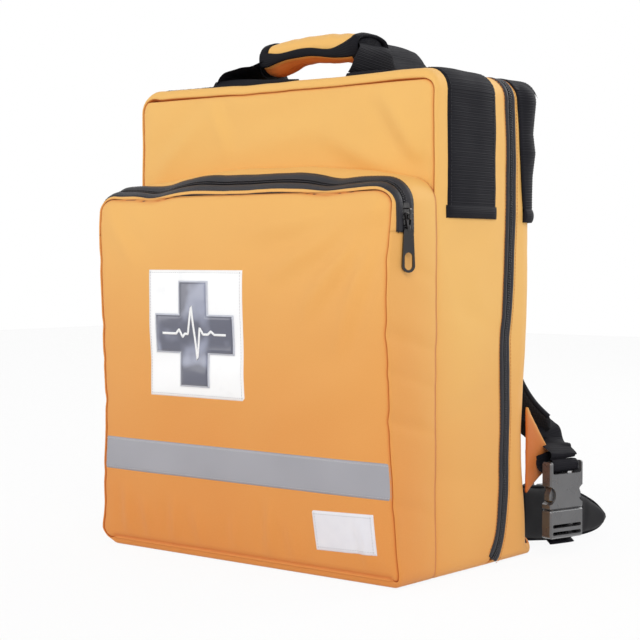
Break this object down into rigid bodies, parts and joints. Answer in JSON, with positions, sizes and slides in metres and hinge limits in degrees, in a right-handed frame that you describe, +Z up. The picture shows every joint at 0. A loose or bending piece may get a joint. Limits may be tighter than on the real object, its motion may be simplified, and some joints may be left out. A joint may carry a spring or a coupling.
{
  "type": "trauma backpack",
  "caption": "Box-shaped clamshell rescue backpack with a zipped front pocket, wide webbing, a reflective band, wrapped carry handle, shoulder straps and hip belt.",
  "frame": {"origin": "centre of the base's footprint, on the ground", "axes": "+X to the right of someone facing the pocket, +Y towards the wearer, +Z up"},
  "size_m": [0.4072, 0.3948, 0.498],
  "materials": {
    "orange_nylon": "coated nylon weave",
    "black_webbing": "ribbed webbing",
    "zip_tape": "woven tape with coil",
    "zip_metal": "black enamelled slider",
    "reflective_tape": "silver retroreflective",
    "badge_white": "smooth white vinyl",
    "emblem_slate": "glossy slate foil",
    "label_white": "woven satin label",
    "black_mesh": "padded spacer mesh",
    "buckle_black": "moulded acetal",
    "board_grey": "stiff foam board"
  },
  "bodies": {
    "root": {"rear_shell": "orange_nylon", "main_zip_rear": "zip_tape", "back_board": "board_grey", "rear_band_right": "black_webbing", "rear_band_left": "black_webbing", "back_pad": "black_mesh", "lumbar_pad": "black_mesh", "strap_yoke": "black_webbing", "anchor_tab_right": "orange_nylon", "anchor_tab_left": "orange_nylon", "anchor_webbing_right": "black_webbing", "anchor_webbing_left": "black_webbing", "rear_handle_leg_right": "black_webbing", "rear_handle_leg_left": "black_webbing"},
    "lid": {"front_shell": "orange_nylon", "main_zip_front": "zip_tape", "front_board": "board_grey", "pocket_shell": "orange_nylon", "pocket_zip_rear": "zip_tape", "reflective_band": "reflective_tape", "badge_patch": "badge_white", "badge_emblem": "emblem_slate", "label": "label_white", "front_band_right": "black_webbing", "front_band_left": "black_webbing", "front_handle_leg_right": "black_webbing", "front_handle_leg_left": "black_webbing"},
    "pocket_flap": {"pocket_flap": "orange_nylon", "pocket_zip_front": "zip_tape"},
    "front_handle": {"grip_webbing": "black_webbing", "grip_wrap": "orange_nylon", "grip_binding": "black_webbing"},
    "rear_handle": {"rear_handle": "black_webbing"},
    "pocket_slider": {"pocket_slider": "zip_metal"},
    "pocket_pull": {"pocket_pull": "zip_metal"},
    "main_slider_right": {"main_slider_right": "zip_metal"},
    "main_pull_right": {"main_pull_right": "zip_metal"},
    "main_slider_left": {"main_slider_left": "zip_metal"},
    "main_pull_left": {"main_pull_left": "zip_metal"},
    "shoulder_strap_right": {"shoulder_strap_right": "black_mesh", "strap_webbing_right": "black_webbing", "strap_buckle_female_right": "buckle_black", "strap_buckle_male_right": "buckle_black"},
    "strap_buckle_right_arm_a": {"strap_buckle_right_arm_a": "buckle_black"},
    "strap_buckle_right_arm_b": {"strap_buckle_right_arm_b": "buckle_black"},
    "shoulder_strap_left": {"shoulder_strap_left": "black_mesh", "strap_webbing_left": "black_webbing", "strap_buckle_female_left": "buckle_black", "strap_buckle_male_left": "buckle_black"},
    "strap_buckle_left_arm_a": {"strap_buckle_left_arm_a": "buckle_black"},
    "strap_buckle_left_arm_b": {"strap_buckle_left_arm_b": "buckle_black"},
    "hip_wing_right": {"hip_wing_right": "black_mesh", "belt_webbing_right": "black_webbing", "belt_buckle_male": "buckle_black"},
    "hip_wing_left": {"hip_wing_left": "black_mesh", "belt_webbing_left": "black_webbing", "belt_buckle_female": "buckle_black"},
    "belt_buckle_arm_a": {"belt_buckle_arm_a": "buckle_black"},
    "belt_buckle_arm_b": {"belt_buckle_arm_b": "buckle_black"}
  },
  "joints": [
    {"name": "lid_hinge", "type": "hinge", "parent": "root", "child": "lid", "pos_m": [0, 0.02802, 0], "axis": [1, 0, 0], "range_deg": [0, 175]},
    {"name": "pocket_flap_hinge", "type": "hinge", "parent": "lid", "child": "pocket_flap", "pos_m": [0, -0.12022, 0.304], "axis": [1, 0, 0], "range_deg": [0, 75]},
    {"name": "front_handle_rise", "type": "slide", "parent": "lid", "child": "front_handle", "axis": [0, 0, 1], "range_m": [-0.012, 0.006], "deforming": ["front_handle_leg_right", "front_handle_leg_left"]},
    {"name": "rear_handle_rise", "type": "slide", "parent": "root", "child": "rear_handle", "axis": [0, 0, 1], "range_m": [-0.02, 0.004], "deforming": ["rear_handle_leg_right", "rear_handle_leg_left"]},
    {"name": "pocket_slider_run", "type": "slide", "parent": "lid", "child": "pocket_slider", "axis": [0, 0, 1], "range_m": [-0.007, 0]},
    {"name": "pocket_pull_swing", "type": "hinge", "parent": "pocket_slider", "child": "pocket_pull", "pos_m": [0.1848, -0.101, 0.322], "axis": [0, -1, 0], "range_deg": [0, 160]},
    {"name": "main_slider_right_run", "type": "slide", "parent": "root", "child": "main_slider_right", "axis": [1, 0, 0], "range_m": [0, 0.125]},
    {"name": "main_pull_right_swing", "type": "hinge", "parent": "main_slider_right", "child": "main_pull_right", "pos_m": [0.014, 0.065, 0.4548], "axis": [0, -1, 0], "range_deg": [0, 100]},
    {"name": "main_slider_left_run", "type": "slide", "parent": "root", "child": "main_slider_left", "axis": [-1, 0, 0], "range_m": [0, 0.125]},
    {"name": "main_pull_left_swing", "type": "hinge", "parent": "main_slider_left", "child": "main_pull_left", "pos_m": [-0.014, 0.065, 0.4548], "axis": [0, 1, 0], "range_deg": [0, 100]},
    {"name": "shoulder_strap_right_swing", "type": "hinge", "parent": "root", "child": "shoulder_strap_right", "pos_m": [0.056, 0.122, 0.412], "axis": [1, 0, 0], "range_deg": [0, 30], "deforming": ["anchor_webbing_right"]},
    {"name": "strap_buckle_right_arm_a_press", "type": "hinge", "parent": "shoulder_strap_right", "child": "strap_buckle_right_arm_a", "pos_m": [0.19604, 0.15907, 0.0355], "axis": [0.9659, -0.2588, 0], "range_deg": [0, 9]},
    {"name": "strap_buckle_right_arm_b_press", "type": "hinge", "parent": "shoulder_strap_right", "child": "strap_buckle_right_arm_b", "pos_m": [0.18796, 0.12893, 0.0355], "axis": [-0.9659, 0.2588, 0], "range_deg": [0, 9]},
    {"name": "shoulder_strap_left_swing", "type": "hinge", "parent": "root", "child": "shoulder_strap_left", "pos_m": [-0.056, 0.122, 0.412], "axis": [1, 0, 0], "range_deg": [0, 30], "deforming": ["anchor_webbing_left"]},
    {"name": "strap_buckle_left_arm_a_press", "type": "hinge", "parent": "shoulder_strap_left", "child": "strap_buckle_left_arm_a", "pos_m": [-0.18796, 0.12893, 0.0355], "axis": [-0.9659, -0.2588, 0], "range_deg": [0, 9]},
    {"name": "strap_buckle_left_arm_b_press", "type": "hinge", "parent": "shoulder_strap_left", "child": "strap_buckle_left_arm_b", "pos_m": [-0.19604, 0.15907, 0.0355], "axis": [0.9659, 0.2588, 0], "range_deg": [0, 9]},
    {"name": "hip_wing_right_swing", "type": "hinge", "parent": "root", "child": "hip_wing_right", "pos_m": [0.149, 0.1343, 0.034], "axis": [0, 0, 1], "range_deg": [-14, 40]},
    {"name": "hip_wing_left_swing", "type": "hinge", "parent": "root", "child": "hip_wing_left", "pos_m": [-0.149, 0.1343, 0.034], "axis": [0, 0, -1], "range_deg": [-14, 40]},
    {"name": "belt_buckle_arm_a_press", "type": "hinge", "parent": "hip_wing_right", "child": "belt_buckle_arm_a", "pos_m": [0.10534, 0.25178, 0.0396], "axis": [-0.1564, -0.9877, 0], "range_deg": [0, 9]},
    {"name": "belt_buckle_arm_b_press", "type": "hinge", "parent": "hip_wing_right", "child": "belt_buckle_arm_b", "pos_m": [0.10534, 0.25178, 0.0084], "axis": [0.1564, 0.9877, 0], "range_deg": [0, 9]}
  ],
  "couplings": [
    {"joint": "strap_buckle_right_arm_b_press", "follows": "strap_buckle_right_arm_a_press", "ratio": 1},
    {"joint": "strap_buckle_left_arm_b_press", "follows": "strap_buckle_left_arm_a_press", "ratio": 1},
    {"joint": "belt_buckle_arm_b_press", "follows": "belt_buckle_arm_a_press", "ratio": 1}
  ]
}
